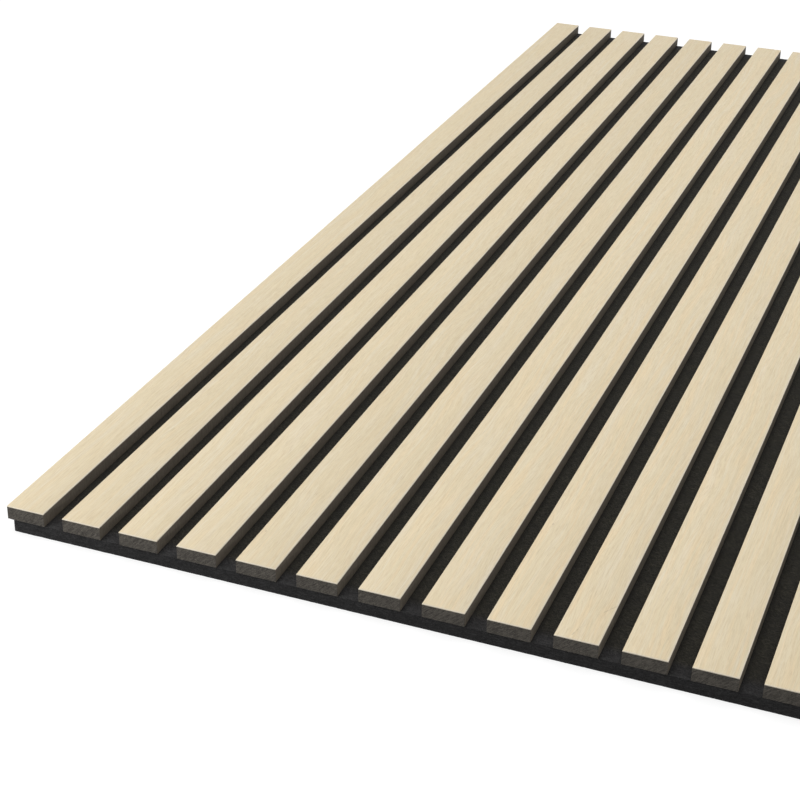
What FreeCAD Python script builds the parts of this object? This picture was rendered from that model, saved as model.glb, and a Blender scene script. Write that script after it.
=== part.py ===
import FreeCAD, Part
import os

# Acoustic slat wall panel: a felt board that carries a row of veneered slats.
# Millimetres. X runs across the slats, Y along them, and Z out of the wall.
# The origin lies in the wall plane, at the middle of the panel's outline.

# The panel
panel_length = 1200.0
slat_count = 15
slat_pitch = 40.0
felt_thickness = 8.4
# How far the first slat stands out over the felt's left edge. The felt's right
# edge stands out past the last slat by as much less than a groove, so that the
# next panel's first slat lands one pitch on.
slat_overhang = 4.0

# A slat
slat_width = 26.5
core_thickness = 9.0
veneer_thickness = 0.6
# Sanded edge along both long sides of the veneer
veneer_ease = 0.25

# A staple: flat wire bent to a U, driven from the back until it sinks in
staple_crown = 12.8
wire_width = 0.95
wire_thickness = 0.65
staple_sink = 0.3
# How far the points reach into the core, and the length of their slope
staple_bite = 5.6
point_length = 1.2
staple_rows = 6
# From the panel's end to the nearest row of staples
staple_margin = 50.0

felt_width = slat_count * slat_pitch
felt_left = (slat_overhang - felt_width) / 2
first_slat_left = felt_left - slat_overhang
front = -panel_length / 2
core_bottom = felt_thickness
core_top = core_bottom + core_thickness


def slat_left(index):
    return first_slat_left + index * slat_pitch


def slat_middle(index):
    return slat_left(index) + slat_width / 2


def prism(outline, start, length):
    """Extrudes an outline of (x, z) points along Y."""
    points = [FreeCAD.Vector(x, start, z) for x, z in outline]
    face = Part.Face(Part.makePolygon(points + points[:1]))
    return face.extrude(FreeCAD.Vector(0, length, 0))


def felt_board():
    corner = FreeCAD.Vector(felt_left, front, 0)
    return Part.makeBox(felt_width, panel_length, felt_thickness, corner)


def slat_core(index):
    corner = FreeCAD.Vector(slat_left(index), front, core_bottom)
    return Part.makeBox(slat_width, panel_length, core_thickness, corner)


def face_veneer(index):
    left = slat_left(index)
    right = left + slat_width
    top = core_top + veneer_thickness
    outline = [
        (left, core_top),
        (right, core_top),
        (right, top - veneer_ease),
        (right - veneer_ease, top),
        (left + veneer_ease, top),
        (left, top - veneer_ease),
    ]
    return prism(outline, front, panel_length)


def staple_places():
    """Middles of the staples under one slat, along Y."""
    spacing = (panel_length - 2 * staple_margin) / (staple_rows - 1)
    return [front + staple_margin + row * spacing for row in range(staple_rows)]


def staple(middle, along, crown_bottom):
    """One U of wire with its crown across the slat and sloped points in the core.

    A crown_bottom below the sunk crown gives the space that the staple was driven through.
    """
    outer = staple_crown / 2
    inner = outer - wire_thickness
    crown_top = staple_sink + wire_thickness
    tip = core_bottom + staple_bite
    outline = [
        (middle - outer, crown_bottom),
        (middle + outer, crown_bottom),
        (middle + outer, tip),
        (middle + inner, tip - point_length),
        (middle + inner, crown_top),
        (middle - inner, crown_top),
        (middle - inner, tip - point_length),
        (middle - outer, tip),
    ]
    return prism(outline, along - wire_width / 2, wire_width)


def staples(index):
    return [staple(slat_middle(index), along, staple_sink) for along in staple_places()]


def staple_paths(index):
    return [staple(slat_middle(index), along, 0) for along in staple_places()]


def write(shape, node):
    shape.exportStep(os.path.join("parts", node + ".step"))


os.makedirs("parts", exist_ok=True)

all_staples = []
all_paths = []
for index in range(slat_count):
    paths = staple_paths(index)
    number = "%02d" % (index + 1)
    write(slat_core(index).cut(paths), "slat_core_" + number)
    write(face_veneer(index), "face_veneer_" + number)
    all_staples += staples(index)
    all_paths += paths

write(felt_board().cut(all_paths), "felt_backing")
write(Part.makeCompound(all_staples), "staples")
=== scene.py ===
import math

import bpy
from mathutils import Matrix, Vector, noise


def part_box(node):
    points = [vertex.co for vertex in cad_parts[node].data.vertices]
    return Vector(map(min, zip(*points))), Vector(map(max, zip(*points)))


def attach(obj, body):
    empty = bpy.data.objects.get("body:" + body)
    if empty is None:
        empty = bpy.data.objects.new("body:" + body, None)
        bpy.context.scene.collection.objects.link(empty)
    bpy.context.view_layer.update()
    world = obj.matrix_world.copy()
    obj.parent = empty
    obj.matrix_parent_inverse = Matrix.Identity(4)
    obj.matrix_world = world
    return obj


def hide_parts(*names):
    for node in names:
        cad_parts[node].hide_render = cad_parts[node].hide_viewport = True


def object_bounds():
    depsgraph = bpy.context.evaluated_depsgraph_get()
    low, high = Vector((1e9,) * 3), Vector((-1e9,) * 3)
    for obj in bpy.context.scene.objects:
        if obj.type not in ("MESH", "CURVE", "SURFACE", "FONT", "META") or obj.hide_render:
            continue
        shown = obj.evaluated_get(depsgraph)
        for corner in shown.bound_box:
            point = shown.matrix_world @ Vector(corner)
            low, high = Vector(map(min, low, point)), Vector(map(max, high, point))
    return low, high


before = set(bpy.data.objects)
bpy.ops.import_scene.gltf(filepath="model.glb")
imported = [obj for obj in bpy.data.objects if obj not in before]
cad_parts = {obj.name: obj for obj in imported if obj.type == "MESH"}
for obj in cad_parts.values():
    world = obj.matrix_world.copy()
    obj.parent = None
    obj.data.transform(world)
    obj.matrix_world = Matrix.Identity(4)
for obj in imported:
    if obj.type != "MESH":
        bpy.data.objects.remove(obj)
cad_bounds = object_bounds()

# Acoustic slat wall panel: a felt board that carries a row of veneered slats, stapled on from the back.
# The scene is in metres. Shapes and patterns are worked out in millimetres.
MM = 0.001

# The camera, in metres, as the photograph's slat edges place it
CAMERA_AT = Vector((0.26743, -1.40751, 0.60467))
VIEW_DIRECTION = Vector((-0.31296, 0.82696, -0.46712))
CAMERA_UP = Vector((-0.18431, 0.42959, 0.88401))
FOCAL_PIXELS = 1775.6
PICTURE_PIXELS = 800
SENSOR_WIDTH = 36.0

# The light of the surroundings, and the floor, in metres: half its side, and how far it lies below the panel
WORLD_LIGHT = 0.21
FLOOR_HALF = 20.0
FLOOR_DROP = 0.0002
FLOOR_GREY = (0.30, 0.30, 0.30, 1.0)
# The floor's own white is weak up to the first distance from the panel's middle and full from the second on
WEAK_WHITE = 0.80
WEAK_UP_TO = 0.9
FULL_FROM = 2.4

# Places on the panel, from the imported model
felt_low, felt_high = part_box("felt_backing")
core_low, core_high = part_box("slat_core_01")
next_core_low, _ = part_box("slat_core_02")
front = felt_low.y / MM
far_end = felt_high.y / MM
slat_left = core_low.x / MM
slat_right = core_high.x / MM
slat_wide = (core_high.x - core_low.x) / MM
pitch = (next_core_low.x - core_low.x) / MM
slats = sorted(name[-2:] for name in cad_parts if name.startswith("slat_core"))
slat_middles = [(slat_left + slat_right) / 2 + index * pitch for index in range(len(slats))]

# Staples: the flat wire, the outer radius of its bends, its sloped points and the rows
WIRE_WIDE = 0.95
WIRE_THICK = 0.65
BEND = 1.05
BEND_STEPS = 6
POINT = 1.2
STAPLE_ROWS = 6
staples_low, staples_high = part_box("staples")
staple_sink = staples_low.z / MM
staple_tip = staples_high.z / MM
staple_half = slat_middles[0] - staples_low.x / MM
first_row = staples_low.y / MM + WIRE_WIDE / 2
row_step = (staples_high.y / MM - WIRE_WIDE / 2 - first_row) / (STAPLE_ROWS - 1)
staple_rows = [first_row + row * row_step for row in range(STAPLE_ROWS)]

# The veneer's eased long edges and broken end edges
VENEER_EASE = 0.25
EASE_STEPS = 3
END_BREAK = 0.12

# Bevels along the foot and the top of a core
BLUNT = 0.35
WORN = 0.12

# The worked ends of the cores and the felt: how deep they reach, how deep their faces may lie, the steps of
# their grids, and the radii of their rounded sides, foot and top
END_DEPTH = 1.0
DEEPEST = 0.9
CORE_STEP = 0.36
FELT_STEP = 0.7
CORE_RADII = (0.15, 0.22, 0.05)
FELT_RADII = (0.4, 0.35, 0.45)
# How high the foot of a core's end is torn at most, roughly
RAGGED = 0.30
# A grid line is left out when it comes nearer to a kept one than this share of a step
CROWDED = 0.45
# Points nearer than this count as one
NEAR = 0.002
# Faces that meet at a greater angle, in degrees, get a sharp edge
SHARP = 38

# Small marks on the faces, across a slat from its left edge and along it from the front end: the two ends of
# each scratch, and the middle, width and length of each pin knot
SCRATCHES = (
    (10, (25.4, 40.6), (20.6, 32.6)),
    (10, (12.2, 14.2), (9.6, 4.2)),
)
KNOTS = (
    (5, (3.1, 36.6), (1.5, 2.0)),
    (9, (5.0, 114.0), (1.3, 3.2)),
)
# Where a mark is full and where it has faded out: from a scratch's line, and in halves of a knot's size
SCRATCH_FADE = (0.12, 0.45)
KNOT_FADE = (0.2, 1.3)
KNOT_SHARE = 0.45
# The same for the painted highlight along the faces' ends and right edges, from their ends. It is wider
# along the right sides.
HIGHLIGHT_FADE = (0.1, 1.0)
SIDE_WIDER = 4 / 3
HIGHLIGHT_SHARE = 0.48

# How far apart the strips' own parts of the wood and of the fibreboard lie at most
VENEER_SPREAD = 900.0
CORE_SPREAD = 700.0
# Moves a pattern to a place where it looks like another one
ANOTHER_PLACE = (311.0, 97.0, 0.0)
# How far the grain wanders from side to side
GRAIN_WANDER = 16.0
# The wood turns warmer between these places across the panel
WARMER_FROM = -190.0
WARMER_TO = 60.0

# The felt's top is greyer up to the first distance from its ends, and browner from the second on
GREYER_UP_TO = 8.0
BROWNER_FROM = 18.0
# How wide the painted shade on the felt beside the slats' right sides is, and how much darker it is there
PAINTED_SHADE_WIDE = 3.0
PAINTED_SHADE_DARKER = 0.32

# A surface faces a way when that part of its normal has passed the second number, and not below the first
FACING = (0.45, 0.75)

# Surface maps: a strip lies on its square as a few runs side by side
RUNS = 6
LANE = 28.5
MAP_GAP = 1.0
run_long = (far_end - front) / RUNS
strip_map = run_long + 6 * MAP_GAP
felt_map = far_end - front + 4 * MAP_GAP
# How wide faces hidden by another piece lie on a map, and so do a core's top and each stretch of its foot
HIDDEN = 3.0
HIDDEN_TOP = 2.0
HIDDEN_FOOT = 1.2
# Room beside a core's end for its skirt, and the columns of the felt's map
END_ROOM = 2.5
FELT_COLUMNS = {"top": 610, "left": 900, "right": 915, "slot sides": 930, "slot ends": 945}
FELT_END_COLUMNS = (970, 985)
# The staples' map: how many lie side by side, the room for each, and the squares of the wire's cut ends
STAPLES_ABREAST = 5
STAPLE_ROOM = (41.0, 5.0)
CUT_SQUARE = 0.9
CUT_STEP = 1.2


class Nodes:
    """Adds nodes to a shader tree. Their inputs take plain values or the outputs of other nodes."""

    def __init__(self, tree):
        self.tree = tree

    def new(self, kind):
        return self.tree.nodes.new("ShaderNode" + kind)

    def feed(self, value, target):
        if isinstance(value, bpy.types.NodeSocket):
            self.tree.links.new(value, target)
        else:
            target.default_value = value

    def math(self, operation, a, b=0.0, clamp=False):
        made = self.new("Math")
        made.operation = operation
        made.use_clamp = clamp
        self.feed(a, made.inputs[0])
        self.feed(b, made.inputs[1])
        return made.outputs[0]

    def vector(self, operation, a, b=(0.0, 0.0, 0.0)):
        made = self.new("VectorMath")
        made.operation = operation
        self.feed(a, made.inputs[0])
        self.feed(b, made.inputs[1])
        return made.outputs["Value" if operation in ("DOT_PRODUCT", "LENGTH") else "Vector"]

    def combine(self, x, y, z):
        made = self.new("CombineXYZ")
        for value, target in zip((x, y, z), made.inputs):
            self.feed(value, target)
        return made.outputs[0]

    def separate(self, vector):
        made = self.new("SeparateXYZ")
        self.feed(vector, made.inputs[0])
        return made.outputs

    def turned(self, vector, axis, degrees):
        made = self.new("VectorRotate")
        made.rotation_type = "AXIS_ANGLE"
        self.feed(vector, made.inputs["Vector"])
        self.feed(axis, made.inputs["Axis"])
        self.feed(math.radians(degrees), made.inputs["Angle"])
        return made.outputs[0]

    def noise(self, vector, waves=1.0, detail=2.0, rough=0.5, bend=0.0):
        made = self.new("TexNoise")
        self.feed(vector, made.inputs["Vector"])
        made.inputs["Scale"].default_value = waves
        made.inputs["Detail"].default_value = detail
        made.inputs["Roughness"].default_value = rough
        made.inputs["Distortion"].default_value = bend
        return made.outputs["Fac"]

    def streaks(self, vector, waves, **settings):
        """Noise with its own number of waves per millimetre along each axis."""
        return self.noise(self.vector("MULTIPLY", vector, waves), **settings)

    def random(self, value):
        """A number and a colour that are the same for the same value, and otherwise look random."""
        made = self.new("TexWhiteNoise")
        made.noise_dimensions = "1D"
        self.feed(value, made.inputs["W"])
        return made.outputs["Value"], made.outputs["Color"]

    def ramp(self, value, low, high, to_low=0.0, to_high=1.0, smooth=True):
        """Goes from to_low to to_high while the value goes from low to high."""
        made = self.new("MapRange")
        made.interpolation_type = "SMOOTHSTEP" if smooth else "LINEAR"
        for number, target in zip((value, low, high, to_low, to_high), made.inputs):
            self.feed(number, target)
        return made.outputs[0]

    def mix(self, share, a, b, blend="MIX"):
        """Goes from colour a to colour b while the share goes from 0 to 1."""
        made = self.new("Mix")
        made.data_type = "RGBA"
        made.blend_type = blend
        self.feed(share, made.inputs["Factor"])
        for value, name in ((a, "A_Color"), (b, "B_Color")):
            target = next(s for s in made.inputs if s.identifier == name)
            self.feed((*value, 1.0) if isinstance(value, tuple) else value, target)
        return next(s for s in made.outputs if s.identifier == "Result_Color")

    def lit(self, colour, light):
        """A colour times a number."""
        return self.mix(1.0, colour, self.combine(light, light, light), "MULTIPLY")

    def layered(self, colour, layers):
        """Lays tints over a colour. Each has a pattern, where it starts and is full, and its share."""
        for pattern, start, full, share, tint in layers:
            colour = self.mix(self.ramp(pattern, start, full, to_high=share), colour, tint)
        return colour


class Surface(Nodes):
    """A material with one Principled shader and with places in millimetres."""

    def __init__(self, name):
        self.material = bpy.data.materials.new(name)
        self.material.use_nodes = True
        super().__init__(self.material.node_tree)
        self.tree.nodes.clear()
        self.place = self.vector("MULTIPLY", self.new("TexCoord").outputs["Object"], (1 / MM,) * 3)

    def bump(self, height, strength, depth):
        made = self.new("Bump")
        self.feed(height, made.inputs["Height"])
        made.inputs["Strength"].default_value = strength
        made.inputs["Distance"].default_value = depth * MM
        return made.outputs[0]

    def finish(self, colour, roughness, normal, **plain):
        """Feeds the shader. The names in plain are its other inputs, with _ for a space."""
        shader = self.new("BsdfPrincipled")
        self.feed(colour, shader.inputs["Base Color"])
        self.feed(roughness, shader.inputs["Roughness"])
        self.feed(normal, shader.inputs["Normal"])
        for name, value in plain.items():
            shader.inputs[name.replace("_", " ")].default_value = value
        self.feed(shader.outputs[0], self.new("OutputMaterial").inputs["Surface"])
        return self.material


def slat_number(n):
    """Counts the slats from the left, where each takes in half a groove on both sides."""
    start = slat_left - (pitch - slat_wide) / 2
    return n.math("FLOOR", n.math("DIVIDE", n.math("SUBTRACT", n.separate(n.place)[0], start), pitch))


def own_part(n, spread):
    """A number from 0 to 1 for each slat, and places in its own part of a pattern."""
    chance, chances = n.random(slat_number(n))
    return chance, n.vector("ADD", n.place, n.vector("MULTIPLY", chances, (spread,) * 3))


def surface_normal(n):
    return n.separate(n.new("NewGeometry").outputs["True Normal"])


def facing_along(n):
    """1 on a surface that faces along the slats, and 0 on one that faces across or up."""
    return n.ramp(n.math("ABSOLUTE", surface_normal(n)[1]), *FACING)


def on_slat(number, across, along):
    """A point on a slat's face, with no height."""
    return Vector((slat_left + (number - 1) * pitch + across, front + along, 0.0))


def scratch(n, face, start, end):
    """1 on the line between two points of the face, and 0 away from it."""
    line = end - start
    way = n.vector("SUBTRACT", face, start)
    share = n.math("DIVIDE", n.vector("DOT_PRODUCT", way, line), line.length_squared, clamp=True)
    off = n.vector("SUBTRACT", way, n.vector("MULTIPLY", line, share))
    return n.ramp(n.vector("LENGTH", off), *SCRATCH_FADE, to_low=1.0, to_high=0.0)


def pin_knot(n, face, middle, size):
    """1 in the middle of a small knot, and 0 away from it."""
    way = n.vector("SUBTRACT", face, middle)
    off = n.vector("MULTIPLY", way, (2 / size[0], 2 / size[1], 0.0))
    return n.ramp(n.vector("LENGTH", off), *KNOT_FADE, to_low=1.0, to_high=0.0)


def painted_edge_highlight(n):
    """Where the painted highlight lies: 1 on a strip's ends and right side, and 0 a little more than a
    millimetre inside them.
    """
    x, y, _ = n.separate(n.place)
    across = n.math("MODULO", n.math("SUBTRACT", x, slat_left), pitch)
    inside = n.math("ABSOLUTE", n.math("SUBTRACT", slat_wide, across))
    from_side = n.math("MULTIPLY", inside, 1 / SIDE_WIDER)
    from_end = n.math("SUBTRACT", far_end, n.math("ABSOLUTE", y))
    return n.ramp(n.math("MINIMUM", from_side, from_end), *HIGHLIGHT_FADE, to_low=1.0, to_high=0.0)


def oak_veneer():
    n = Surface("oak_veneer")
    chance, here = own_part(n, VENEER_SPREAD)
    # The grain wanders a little from the slat's own direction
    drift = n.math("SUBTRACT", n.streaks(here, (0.03, 0.006, 0.03)), 0.5)
    along = n.vector("ADD", here, n.combine(n.math("MULTIPLY", drift, GRAIN_WANDER), 0.0, 0.0))
    elsewhere = n.vector("ADD", along, ANOTHER_PLACE)
    leaning = n.turned(elsewhere, (0, 0, 1), degrees=7)
    warm = n.streaks(along, (0.30, 0.011, 0.30), rough=0.6, bend=0.4)
    pale = n.streaks(elsewhere, (0.26, 0.010, 0.26), rough=0.6, bend=0.4)
    tan_lines = n.streaks(along, (0.95, 0.013, 0.95), rough=0.6)
    pale_lines = n.streaks(elsewhere, (0.85, 0.014, 0.85), rough=0.6)
    strokes = n.streaks(along, (2.9, 0.070, 2.9), rough=0.7)
    crossing = n.streaks(leaning, (2.0, 0.07, 2.0), rough=0.7, bend=0.3)
    pores = n.streaks(elsewhere, (3.3, 0.13, 3.3), detail=1.0)
    dust = n.streaks(along, (1.8, 0.25, 1.8), rough=0.7)
    # The strips towards the right come from a warmer part of the wood
    warmth = n.ramp(n.separate(n.place)[0], WARMER_FROM, WARMER_TO, to_low=0.40, to_high=0.90)
    warm_share = n.math("MULTIPLY", n.ramp(warm, 0.43, 0.66), warmth)
    colour = n.mix(warm_share, (0.776, 0.668, 0.467), (0.820, 0.672, 0.446))
    colour = n.layered(colour, (
        (pale, 0.48, 0.70, 0.50, (0.798, 0.722, 0.575)),
        (tan_lines, 0.46, 0.68, 0.32, (0.690, 0.560, 0.365)),
        (pale_lines, 0.48, 0.68, 0.30, (0.830, 0.758, 0.612)),
        (strokes, 0.46, 0.68, 0.46, (0.625, 0.500, 0.312)),
        (crossing, 0.48, 0.70, 0.32, (0.645, 0.520, 0.335)),
        (pores, 0.60, 0.74, 0.22, (0.450, 0.335, 0.205)),
        (dust, 0.58, 0.74, 0.26, (0.860, 0.780, 0.620)),
    ))
    colour = n.lit(colour, n.ramp(chance, 0.0, 1.0, to_low=0.98, to_high=1.02, smooth=False))
    # Painted highlight: the ends and right edges are painted paler and greyer than the face, for the light
    # that these edges catch
    colour = n.mix(n.math("MULTIPLY", painted_edge_highlight(n), HIGHLIGHT_SHARE), colour, (0.800, 0.758, 0.676))
    face = n.vector("MULTIPLY", n.place, (1.0, 1.0, 0.0))
    depth = n.ramp(n.noise(face, waves=0.45, detail=1.0), 0.38, 0.60, to_low=0.12, to_high=0.50)
    for number, start, end in SCRATCHES:
        line = scratch(n, face, on_slat(number, *start), on_slat(number, *end))
        colour = n.mix(n.math("MULTIPLY", line, depth), colour, (0.430, 0.340, 0.225))
    for number, middle, size in KNOTS:
        knot = pin_knot(n, face, on_slat(number, *middle), size)
        colour = n.mix(n.math("MULTIPLY", knot, KNOT_SHARE), colour, (0.480, 0.370, 0.250))
    height = n.math("SUBTRACT", n.math("MULTIPLY", strokes, 0.6), n.ramp(pores, 0.60, 0.72))
    rough = n.ramp(strokes, 0.3, 0.7, to_low=0.50, to_high=0.62)
    return n.finish(colour, rough, n.bump(height, strength=0.30, depth=0.06), Specular_IOR_Level=0.20)


def black_fibreboard():
    """Milled sides, painted lighter and warmer partly for the light that falls on them, and ends with the
    slanting marks of a saw.
    """
    n = Surface("black_fibreboard")
    end = facing_along(n)
    _, here = own_part(n, CORE_SPREAD)
    fibres = n.noise(here, waves=2.2, detail=5.0, rough=0.7, bend=0.8)
    lumps = n.noise(here, waves=0.45, detail=3.0, rough=0.6)
    slanted = n.turned(here, (0, 1, 0), degrees=42)
    teeth = n.streaks(slanted, (0.20, 0.35, 1.25), detail=3.0, rough=0.65, bend=0.5)
    cutter = n.streaks(here, (0.2, 0.7, 0.22), detail=3.0, rough=0.6)
    flecks = n.streaks(n.turned(here, (0, 1, 0), degrees=30), (0.9, 1.5, 2.4), rough=0.6)
    marks = n.mix(end, cutter, teeth)
    share = n.math("ADD", n.math("MULTIPLY", fibres, 0.45), n.math("MULTIPLY", marks, 0.55))
    sawn = n.mix(n.ramp(share, 0.39, 0.61), (0.034, 0.030, 0.026), (0.104, 0.094, 0.080))
    # Painted light: the milled sides are partly painted lighter than the sawn ends, for the light from the
    # right that falls on them
    milled_and_lit = n.mix(n.ramp(share, 0.30, 0.70), (0.139, 0.119, 0.093), (0.212, 0.182, 0.145))
    colour = n.mix(end, milled_and_lit, sawn)
    colour = n.layered(colour, ((lumps, 0.42, 0.72, 0.22, (0.140, 0.125, 0.104)),))
    pale = n.math("MULTIPLY", n.ramp(flecks, 0.57, 0.72, to_high=0.50), end)
    colour = n.mix(pale, colour, (0.215, 0.194, 0.160))
    height = n.math("ADD", n.math("MULTIPLY", fibres, 0.5), marks)
    return n.finish(colour, 0.78, n.bump(height, strength=0.5, depth=0.20), Specular_IOR_Level=0.25)


def acoustic_felt():
    n = Surface("acoustic_felt")
    here = n.place
    x, y, _ = n.separate(here)
    turned = n.turned(here, (0, 0, 1), degrees=55)
    across = n.streaks(here, (0.30, 1.6, 1.6), detail=3.0, rough=0.65, bend=0.8)
    slanted = n.streaks(turned, (0.32, 1.7, 1.5), detail=3.0, rough=0.65, bend=0.8)
    specks = n.noise(here, waves=2.3, rough=0.6)
    patches = n.noise(here, waves=0.09, detail=3.0)
    fibre = n.math("MAXIMUM", across, slanted)
    browner_pile = n.mix(n.ramp(fibre, 0.48, 0.68), (0.0118, 0.0108, 0.0078), (0.046, 0.042, 0.031))
    cut = n.mix(n.ramp(fibre, 0.48, 0.68), (0.0135, 0.0132, 0.0135), (0.048, 0.047, 0.048))
    # The cut ends are greyer, and so is the felt's top for a finger's width behind them; further in it is
    # browner
    greyer_near_ends = n.ramp(n.math("ABSOLUTE", y), far_end - BROWNER_FROM, far_end - GREYER_UP_TO)
    colour = n.mix(n.math("MAXIMUM", facing_along(n), greyer_near_ends), browner_pile, cut)
    colour = n.layered(colour, (
        (specks, 0.62, 0.76, 0.5, (0.095, 0.091, 0.082)),
        (patches, 0.35, 0.65, 0.25, (0.013, 0.012, 0.012)),
    ))
    # Painted shade: next to a slat's right side the felt is painted darker, for the shade at the slat's foot
    from_slat = n.math("FLOORED_MODULO", n.math("SUBTRACT", x, slat_right), pitch)
    flat = n.ramp(from_slat, 0.0, PAINTED_SHADE_WIDE, to_low=PAINTED_SHADE_DARKER, to_high=0.0)
    upward = n.ramp(surface_normal(n)[2], *FACING)
    colour = n.lit(colour, n.math("SUBTRACT", 1.0, n.math("MULTIPLY", upward, flat)))
    height = n.math("ADD", fibre, n.math("MULTIPLY", specks, 0.4))
    bumps = n.bump(height, strength=0.8, depth=0.5)
    return n.finish(colour, 0.95, bumps, Specular_IOR_Level=0.12, Sheen_Weight=0.10)


def staple_wire():
    n = Surface("staple_wire")
    grain = n.streaks(n.place, (0.6, 6.0, 6.0), detail=3.0)
    colour = n.mix(grain, (0.50, 0.50, 0.51), (0.66, 0.66, 0.67))
    rough = n.ramp(grain, 0.3, 0.7, to_low=0.28, to_high=0.42)
    return n.finish(colour, rough, n.bump(grain, strength=0.2, depth=0.02), Metallic=1.0)


class Shape:
    """Collects faces, and their places on the square that the surface maps are laid out on."""

    def __init__(self, map_side):
        self.map_side = map_side
        self.points = []
        self.index = {}
        self.faces = []
        self.flats = []
        self.smooth = []

    def number(self, point):
        key = snapped(point)
        if key not in self.index:
            self.index[key] = len(self.points)
            self.points.append(key)
        return self.index[key]

    def face(self, points, flats, smooth=False):
        self.faces.append([self.number(point) for point in points])
        self.flats += flats
        self.smooth.append(smooth)

    def stitched_face(self, points, flats, rings):
        """A flat face with four corners. An edge that lies on an end ring takes in the ring's points."""
        loop, centre = [], None
        for k in range(4):
            p, q = points[k], points[(k + 1) % 4]
            f, g = flats[k], flats[(k + 1) % 4]
            loop.append((p, f))
            ring = rings.get(p[1], ()) if p[1] == q[1] else ()
            for share, point in on_edge(p, q, ring):
                loop.append((point, (f[0] + share * (g[0] - f[0]), f[1] + share * (g[1] - f[1]))))
                centre = (points[(k + 2) % 4], flats[(k + 2) % 4])
        if centre is None:
            self.face(points, flats)
            return
        start = loop.index(centre)
        fan = loop[start + 1:] + loop[:start]
        for (p, f), (q, g) in zip(fan, fan[1:]):
            self.face([centre[0], p, q], [centre[1], f, g])

    def build(self, name, material, node):
        mesh = bpy.data.meshes.new(name)
        mesh.from_pydata([[c * MM for c in point] for point in self.points], [], self.faces)
        layer = mesh.uv_layers.new(name="OFBake")
        for corner, (u, v) in zip(layer.data, self.flats):
            corner.uv = (u / self.map_side, v / self.map_side)
        mesh.polygons.foreach_set("use_smooth", self.smooth)
        mesh.set_sharp_from_angle(angle=math.radians(SHARP))
        mesh.materials.append(material)
        piece = bpy.data.objects.new(name, mesh)
        bpy.context.scene.collection.objects.link(piece)
        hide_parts(node)
        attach(piece, "root")
        return piece


def snapped(point):
    """A point on a grid of a ten-thousandth of a millimetre, so that the same point is found again."""
    return tuple(round(c, 4) for c in point)


def patch(u0, v0, u1, v1):
    """The corners of a rectangle on a map."""
    return [(u0, v0), (u1, v0), (u1, v1), (u0, v1)]


def in_mm(node):
    """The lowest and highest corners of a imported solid, in millimetres."""
    low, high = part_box(node)
    return low / MM, high / MM


def with_mirror(half, low_x, high_x):
    """An outline from its left half."""
    return half + [(low_x + high_x - x, z) for x, z in half[::-1]]


def on_edge(p, q, ring):
    """The ring's points that lie between p and q, each with its share of the way."""
    step = Vector(q) - Vector(p)
    found = []
    for point in ring:
        way = Vector(point) - Vector(p)
        share = way.dot(step) / step.length_squared
        inside = NEAR < share * step.length < step.length - NEAR
        if inside and (way - share * step).length < NEAR:
            found.append((share, point))
    return sorted(found)


def lines_between(low, high, step, fixed):
    """Grid lines about a step apart. The fixed ones are kept, and those too near to them left out."""
    count = round((high - low) / step)
    even = [low + (high - low) * number / count for number in range(1, count)]
    kept = {low, high, *fixed}
    free = [line for line in even if min(abs(line - other) for other in kept) > CROWDED * step]
    return sorted([*kept, *free])


def rounded(from_edge, radius):
    """How far a rounded edge falls back at a distance from the side."""
    if from_edge >= radius:
        return 0.0
    return radius - math.sqrt(radius ** 2 - (radius - from_edge) ** 2)


def sawn_back(x, y, z):
    """How far a core's end falls back: its mean, slanting saw marks and fine tears."""
    marks = noise.noise(Vector((0.17 * (x + 1.1 * z), y, 0.62 * (z - 1.1 * x))))
    tears = noise.noise(Vector((0.75 * x, y + 9, 0.75 * z)))
    return 0.16 + 0.10 * marks + 0.06 * tears


def frayed_back(x, y, z):
    """How far the felt's end falls back: its mean, slow waves and small tufts."""
    waves = noise.noise(Vector((0.16 * x, y, 0.25 * z)))
    tufts = noise.noise(Vector((0.8 * x, y + 5, 1.1 * z)))
    return 0.30 + 0.16 * waves + 0.16 * tufts


def torn_up(x, y):
    """How far the foot of an end is torn, from 0 where it is whole."""
    return max(0.0, noise.noise(Vector((0.9 * x, y, 3.0))) + 0.25)


def strip_stations(low, high, stops=()):
    """Cuts a strip's length into runs, each with its stations, so that it fits on a square map."""
    run = (high - low) / RUNS
    found = []
    for number in range(RUNS):
        start, end = low + number * run, low + (number + 1) * run
        inside = sorted(stop for stop in stops if start < stop < end)
        found.append([start, *inside, end])
    return found


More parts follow.
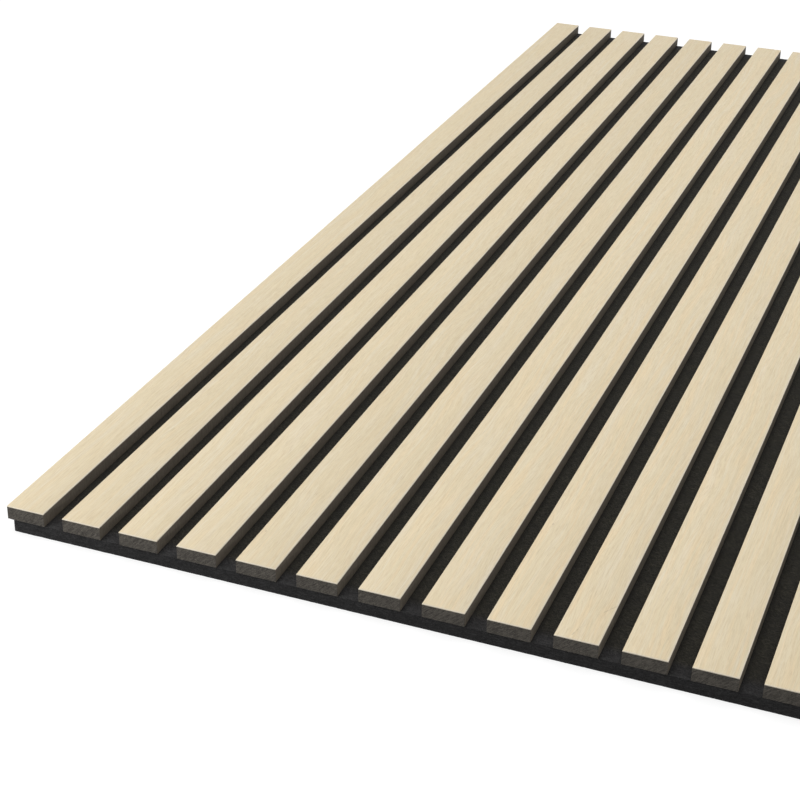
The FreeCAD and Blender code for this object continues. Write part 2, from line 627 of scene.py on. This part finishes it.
def add_rough_end(shape, lines, end_y, fall, radii, bevels, flat_at, ragged=0.0):
    """A grid over one end of a bar, with a skirt to the ring where the bar's sides start. Gives the ring.

    lines are the grid's x and z lines, and fall(x, y, z) says how far the end is set back. radii are those
    of the end's rounded sides, foot and top, bevels those of the bar's foot and top, and ragged is how high
    the foot is torn.
    """
    xs, zs = lines
    inward = 1.0 if end_y < 0 else -1.0
    last_i, last_j = len(xs) - 1, len(zs) - 1
    side_radius, foot_radius, top_radius = radii

    def place(i, j):
        x, z = xs[i], zs[j]
        back = fall(x, end_y, z) + rounded(min(x - xs[0], xs[-1] - x), side_radius)
        back += rounded(z - zs[0], foot_radius) + rounded(zs[-1] - z, top_radius)
        if j == 0:
            z += ragged * torn_up(x, end_y)
        return (x, end_y + inward * min(back, DEEPEST), z)

    def behind(i, j):
        """The ring's point behind a border point, which follows the bar's bevel at the corners."""
        x, z = xs[i], zs[j]
        bevel = bevels[0] if j == 0 else bevels[1] if j == last_j else 0.0
        across = min(x - xs[0], xs[-1] - x)
        if across < bevel:
            across = max(across, min(bevels) / 2)
            x = xs[0] + across if x < (xs[0] + xs[-1]) / 2 else xs[-1] - across
            z += (bevel - across) * (1 if j == 0 else -1)
        return (x, end_y + inward * END_DEPTH, z)

    def flat(i, j, out_x=0.0, out_z=0.0):
        return (flat_at[0] + zs[j] - zs[0] + out_z, flat_at[1] + xs[i] - xs[0] + out_x)

    def turn(points, flats):
        if inward < 0:
            points, flats = points[::-1], flats[::-1]
        shape.face(points, flats, True)

    grid = [[place(i, j) for j in range(last_j + 1)] for i in range(last_i + 1)]
    for i in range(last_i):
        for j in range(last_j):
            spots = [(i, j), (i + 1, j), (i + 1, j + 1), (i, j + 1)]
            turn([grid[a][b] for a, b in spots], [flat(a, b) for a, b in spots])

    ring = []

    def skirt(a, b, out_x, out_z):
        points = [grid[a[0]][a[1]], behind(*a), behind(*b), grid[b[0]][b[1]]]
        out = (out_x * END_DEPTH, out_z * END_DEPTH)
        turn(points, [flat(*a), flat(*a, *out), flat(*b, *out), flat(*b)])
        ring.append(snapped(behind(*a)))

    for i in range(last_i):
        skirt((i, 0), (i + 1, 0), 0, -1)
        skirt((last_i - i, last_j), (last_i - i - 1, last_j), 0, 1)
    for j in range(last_j):
        skirt((0, last_j - j), (0, last_j - j - 1), -1, 0)
        skirt((last_i, j), (last_i, j + 1), 1, 0)
    return ring


def add_veneer(number, material):
    """A veneer strip with eased long edges and broken end edges."""
    node = "face_veneer_" + number
    low, high = in_mm(node)
    shape = Shape(strip_map)
    half = [(low.x, low.z)]
    for step in range(EASE_STEPS + 1):
        angle = math.pi / 2 * step / EASE_STEPS
        inward = VENEER_EASE * (1 - math.cos(angle))
        down = VENEER_EASE * (1 - math.sin(angle))
        half.append((low.x + inward, high.z - down))
    profile = with_mirror(half, low.x, high.x)
    along = [0.0]
    for start, end in zip(profile, profile[1:]):
        along.append(along[-1] + math.dist(start, end))
    profile.append(profile[0])
    along.append(along[-1] + HIDDEN)
    lane = along[-1] + MAP_GAP

    def place(k, y):
        x, z = profile[k]
        if y in (low.y, high.y):
            z = min(z, high.z - END_BREAK)
        return (x, y, z)

    stops = (low.y + END_BREAK, high.y - END_BREAK)
    for run, stations in enumerate(strip_stations(low.y, high.y, stops)):
        u = MAP_GAP + run * lane
        for y0, y1 in zip(stations, stations[1:]):
            v0, v1 = (MAP_GAP + y - stations[0] for y in (y0, y1))
            for k in range(len(profile) - 1):
                points = [place(k, y0), place(k + 1, y0), place(k + 1, y1), place(k, y1)]
                eased = math.dist(profile[k], profile[k + 1]) < VENEER_EASE
                shape.face(points, patch(u + along[k], v0, u + along[k + 1], v1), eased)
    v = run_long + 3 * MAP_GAP
    for y, u in ((low.y, MAP_GAP), (high.y, MAP_GAP + lane)):
        ring = [place(k, y) for k in range(len(profile) - 1)]
        if y == low.y:
            ring.reverse()
        shape.face(ring, [(u + x - low.x, v + z - low.z) for x, _, z in ring])
    return shape.build("veneer_strip_" + number, material, node)


def add_slot(shape, ring, foot_z, flats):
    """The slot of a staple's point in a core, from the foot up to a ring of four points."""
    foot = [(x, y, foot_z) for x, y, _ in ring]
    shape.face(ring[::-1], flats)
    for m in range(4):
        n = (m + 1) % 4
        shape.face([foot[n], foot[m], ring[m], ring[n]], flats)


def add_core(number, material):
    """A fibreboard strip with rough sawn ends and the slots that the staple points made."""
    node = "slat_core_" + number
    low, high = in_mm(node)
    shape = Shape(strip_map)
    middle = (low.x + high.x) / 2
    outer = [middle + side * staple_half for side in (-1, 1)]
    inner = [middle + side * (staple_half - WIRE_THICK) for side in (-1, 1)]
    foot_x = [low.x + BLUNT, outer[0], inner[0], inner[1], outer[1], high.x - BLUNT]
    worn_x = [low.x + WORN, high.x - WORN]
    lines = (
        lines_between(low.x, high.x, CORE_STEP, foot_x + worn_x),
        lines_between(low.z, high.z, CORE_STEP, [low.z + BLUNT, high.z - WORN]),
    )
    rings = {}
    for end_y, v in ((low.y, END_ROOM), (high.y, END_ROOM + slat_wide + 4 * MAP_GAP)):
        flat_at = (RUNS * LANE + END_ROOM, v)
        ring = add_rough_end(shape, lines, end_y, sawn_back, CORE_RADII, (BLUNT, WORN), flat_at, RAGGED)
        rings[ring[0][1]] = ring
    stops = [*rings]
    for y in staple_rows:
        stops += [y - WIRE_WIDE / 2, y + WIRE_WIDE / 2]
    half = [(low.x + BLUNT, low.z), (low.x, low.z + BLUNT), (low.x, high.z - WORN), (low.x + WORN, high.z)]
    profile = with_mirror(half, low.x, high.x)
    spans = [math.dist(start, end) for start, end in zip(profile, profile[1:])]
    spans[len(half) - 1] = HIDDEN_TOP
    for run, stations in enumerate(strip_stations(low.y, high.y, stops)):
        for y0, y1 in zip(stations, stations[1:]):
            if y1 <= min(rings) or y0 >= max(rings):
                continue
            v0, v1 = (MAP_GAP + y - stations[0] for y in (y0, y1))
            u = MAP_GAP + run * LANE
            for (x0, z0), (x1, z1), span in zip(profile, profile[1:], spans):
                points = [(x0, y0, z0), (x1, y0, z1), (x1, y1, z1), (x0, y1, z0)]
                shape.stitched_face(points, patch(u, v0, u + span, v1), rings)
                u += span
            u += MAP_GAP
            holed = any(abs((y0 + y1) / 2 - y) < WIRE_WIDE / 2 for y in staple_rows)
            for x0, x1 in zip(foot_x, foot_x[1:]):
                flats = patch(u + HIDDEN_FOOT, v0, u, v1)
                u += HIDDEN_FOOT
                if holed and (x0 in inner) != (x1 in inner):
                    top0, top1 = (staple_tip - (POINT if x in inner else 0.0) for x in (x0, x1))
                    ring = [(x0, y0, top0), (x1, y0, top1), (x1, y1, top1), (x0, y1, top0)]
                    add_slot(shape, ring, low.z, flats)
                else:
                    points = [(x1, y0, low.z), (x0, y0, low.z), (x0, y1, low.z), (x1, y1, low.z)]
                    shape.stitched_face(points, flats, rings)
    return shape.build("fibreboard_core_" + number, material, node)


def add_felt(material):
    """The felt board with the staple slots and softly frayed ends."""
    low, high = in_mm("felt_backing")
    shape = Shape(felt_map)
    xs = {low.x, high.x}
    for middle in slat_middles:
        for side in (-1, 1):
            xs |= {middle + side * staple_half, middle + side * (staple_half - WIRE_THICK)}
    xs = sorted(xs)
    zs = [low.z, low.z + staple_sink + WIRE_THICK, high.z]
    lines = (lines_between(low.x, high.x, FELT_STEP, xs), lines_between(low.z, high.z, FELT_STEP, zs))
    rings = {}
    for end_y, u in zip((low.y, high.y), FELT_END_COLUMNS):
        flat_at = (u, 2 * MAP_GAP)
        ring = add_rough_end(shape, lines, end_y, frayed_back, FELT_RADII, (0.0, 0.0), flat_at)
        rings[ring[0][1]] = ring
    ys = {*rings}
    for y in staple_rows:
        ys |= {y - WIRE_WIDE / 2, y + WIRE_WIDE / 2}
    ys = sorted(ys)

    def solid(i, j, k):
        if not (0 <= i < len(xs) - 1 and 0 <= j < len(ys) - 1 and 0 <= k < 2):
            return False
        x, y = (xs[i] + xs[i + 1]) / 2, (ys[j] + ys[j + 1]) / 2
        if all(abs(y - row) > WIRE_WIDE / 2 for row in staple_rows):
            return True
        reach = min(abs(x - middle) for middle in slat_middles)
        if reach > staple_half:
            return True
        return k == 1 and reach < staple_half - WIRE_THICK

    def squeezed(x):
        """Places across the felt on its map, where the parts hidden under the slats take little room."""
        slat, across = divmod(x - slat_middles[0] + slat_wide / 2, pitch)
        hidden = min(across, slat_wide) / slat_wide * HIDDEN
        return slat * (pitch - slat_wide + HIDDEN + MAP_GAP) + hidden + max(0.0, across - slat_wide)

    def flat(x, y, z, facing):
        u, v = x - low.x + 2 * MAP_GAP, y - low.y + MAP_GAP
        if facing == (0, 0, -1):
            return (u, v)
        if facing == (0, 0, 1):
            return (FELT_COLUMNS["top"] + squeezed(x), v)
        if facing[1]:
            return (FELT_COLUMNS["slot ends"] + z, u)
        if x in (low.x, high.x):
            return (FELT_COLUMNS["left" if x == low.x else "right"] + z, v)
        return (FELT_COLUMNS["slot sides"] + z, v)

    def side(i, j, k, facing):
        x0, x1, y0, y1, z0, z1 = xs[i], xs[i + 1], ys[j], ys[j + 1], zs[k], zs[k + 1]
        corners = {
            (0, 0, -1): [(x0, y0, z0), (x0, y1, z0), (x1, y1, z0), (x1, y0, z0)],
            (0, 0, 1): [(x0, y0, z1), (x1, y0, z1), (x1, y1, z1), (x0, y1, z1)],
            (-1, 0, 0): [(x0, y0, z0), (x0, y0, z1), (x0, y1, z1), (x0, y1, z0)],
            (1, 0, 0): [(x1, y0, z0), (x1, y1, z0), (x1, y1, z1), (x1, y0, z1)],
            (0, -1, 0): [(x0, y0, z0), (x1, y0, z0), (x1, y0, z1), (x0, y0, z1)],
            (0, 1, 0): [(x0, y1, z0), (x0, y1, z1), (x1, y1, z1), (x1, y1, z0)],
        }
        points = corners[facing]
        shape.stitched_face(points, [flat(*point, facing) for point in points], rings)

    for i in range(len(xs) - 1):
        for j in range(len(ys) - 1):
            for k in range(2):
                if not solid(i, j, k):
                    continue
                for facing in ((0, 0, -1), (0, 0, 1), (-1, 0, 0), (1, 0, 0), (0, -1, 0), (0, 1, 0)):
                    at_end = (facing[1] < 0 and j == 0) or (facing[1] > 0 and j == len(ys) - 2)
                    if not at_end and not solid(i + facing[0], j + facing[1], k + facing[2]):
                        side(i, j, k, facing)
    return shape.build("felt_board", material, "felt_backing")


def staple_path():
    """The wire from one point to the other: pairs of outer and inner points, across the slat and up."""
    half = [((-staple_half, staple_tip), (-staple_half + WIRE_THICK, staple_tip - POINT))]
    centre = (-staple_half + BEND, staple_sink + BEND)
    for step in range(BEND_STEPS + 1):
        angle = math.pi / 2 * step / BEND_STEPS
        pair = []
        for radius in (BEND, BEND - WIRE_THICK):
            pair.append((centre[0] - radius * math.cos(angle), centre[1] - radius * math.sin(angle)))
        half.append(tuple(pair))
    return half + [tuple((-x, z) for x, z in pair) for pair in half[::-1]]


def add_staples(material):
    """Flat wire bent to a U with rounded shoulders and sloped points."""
    shape = Shape(strip_map)
    path = staple_path()
    half_round = WIRE_WIDE + WIRE_THICK
    edges = (0.0, WIRE_WIDE, half_round, half_round + WIRE_WIDE, 2 * half_round)
    places = [(middle, row) for middle in slat_middles for row in staple_rows]
    for number, (middle, row) in enumerate(places):
        u = MAP_GAP + number % STAPLES_ABREAST * STAPLE_ROOM[0]
        v = MAP_GAP + number // STAPLES_ABREAST * STAPLE_ROOM[1]
        y0, y1 = row - WIRE_WIDE / 2, row + WIRE_WIDE / 2
        rings = []
        for (xo, zo), (xi, zi) in path:
            out, inside = middle + xo, middle + xi
            rings.append([(out, y0, zo), (out, y1, zo), (inside, y1, zi), (inside, y0, zi)])
        for m, (a, b) in enumerate(zip(rings, rings[1:])):
            step = math.dist(path[m][0], path[m + 1][0])
            for k in range(4):
                n = (k + 1) % 4
                v0, v1 = v + edges[k], v + edges[k + 1]
                flats = [(u, v0), (u, v1), (u + step, v1), (u + step, v0)]
                shape.face([a[k], a[n], b[n], b[k]], flats, step < WIRE_THICK)
            u += step
        for ring, v0 in ((rings[0][::-1], v), (rings[-1], v + CUT_STEP)):
            shape.face(ring, patch(u, v0, u + CUT_SQUARE, v0 + CUT_SQUARE))
    return shape.build("staple_wires", material, "staples")


def add_camera():
    data = bpy.data.cameras.new("camera")
    data.sensor_width = SENSOR_WIDTH
    data.lens = FOCAL_PIXELS / PICTURE_PIXELS * SENSOR_WIDTH
    camera = bpy.data.objects.new("camera", data)
    back = -VIEW_DIRECTION.normalized()
    right = CAMERA_UP.cross(back).normalized()
    up = back.cross(right)
    turn = Matrix((right, up, back)).transposed().to_4x4()
    camera.matrix_world = Matrix.Translation(CAMERA_AT) @ turn
    bpy.context.scene.collection.objects.link(camera)
    bpy.context.scene.camera = camera


def add_lamp(name, place, target, size, power):
    data = bpy.data.lights.new(name, "AREA")
    data.shape = "RECTANGLE"
    data.size, data.size_y = size
    data.energy = power
    lamp = bpy.data.objects.new(name, data)
    lamp.location = place
    lamp.rotation_euler = (Vector(target) - Vector(place)).to_track_quat("-Z", "Y").to_euler()
    bpy.context.scene.collection.objects.link(lamp)


def seen_share(n):
    """1 where the camera, a mirror or glass looks at the surface, and 0 where light bounces from it."""
    path = n.new("LightPath").outputs
    mirrored = n.math("MAXIMUM", path["Is Glossy Ray"], path["Is Transmission Ray"])
    return n.math("MAXIMUM", path["Is Camera Ray"], mirrored)


def add_world():
    """The same light from all sides, and white where it is looked at."""
    world = bpy.data.worlds.new("world")
    world.use_nodes = True
    n = Nodes(world.node_tree)
    light = n.tree.nodes["Background"]
    light.inputs["Strength"].default_value = WORLD_LIGHT
    white = n.new("Background")
    for background in (light, white):
        background.inputs["Color"].default_value = (1.0, 1.0, 1.0, 1.0)
    mix = n.new("MixShader")
    for value, target in zip((seen_share(n), light.outputs[0], white.outputs[0]), mix.inputs):
        n.feed(value, target)
    n.feed(mix.outputs[0], n.tree.nodes["World Output"].inputs["Surface"])
    bpy.context.scene.world = world


def floor_white():
    """A grey floor that adds its own white where it is looked at."""
    material = bpy.data.materials.new("floor_white")
    material.use_nodes = True
    n = Nodes(material.node_tree)
    n.tree.nodes.clear()
    diffuse = n.new("BsdfDiffuse")
    diffuse.inputs["Color"].default_value = FLOOR_GREY
    # That white is weaker round the panel, where the lamps add theirs and a shadow shows
    away = n.vector("LENGTH", n.new("TexCoord").outputs["Object"])
    white = n.ramp(away, WEAK_UP_TO, FULL_FROM, to_low=WEAK_WHITE, smooth=False)
    lift = n.new("Emission")
    n.feed(n.math("MULTIPLY", white, seen_share(n)), lift.inputs["Strength"])
    both = n.new("AddShader")
    n.feed(diffuse.outputs[0], both.inputs[0])
    n.feed(lift.outputs[0], both.inputs[1])
    n.feed(both.outputs[0], n.new("OutputMaterial").inputs["Surface"])
    return material


def add_floor():
    mesh = bpy.data.meshes.new("floor")
    corners = [(x * FLOOR_HALF, y * FLOOR_HALF, 0) for x, y in patch(-1, -1, 1, 1)]
    mesh.from_pydata(corners, [], [(0, 1, 2, 3)])
    mesh.materials.append(floor_white())
    floor = bpy.data.objects.new("floor", mesh)
    floor.location.z = cad_bounds[0].z - FLOOR_DROP
    bpy.context.scene.collection.objects.link(floor)


felt = acoustic_felt()
core = black_fibreboard()
veneer = oak_veneer()
wire = staple_wire()
add_felt(felt)
add_staples(wire)
for number in slats:
    add_core(number, core)
    add_veneer(number, veneer)

add_camera()
add_world()
add_floor()
add_lamp("overhead", place=(0.0, 0.0, 2.4), target=(0.0, 0.0, 0.0), size=(2.6, 2.6), power=46.0)
add_lamp("left", place=(-1.7, 0.0, 1.6), target=(0.0, 0.0, 0.0), size=(1.2, 1.2), power=5.0)
add_lamp("right_back", place=(1.5, 1.2, 0.8), target=(0.0, 0.1, 0.0), size=(1.0, 0.6), power=4.2)
add_lamp("front_left", place=(-0.9, -1.35, 0.25), target=(-0.25, -0.6, 0.0), size=(0.5, 0.3), power=7.6)

bpy.context.scene.view_settings.view_transform = "Standard"
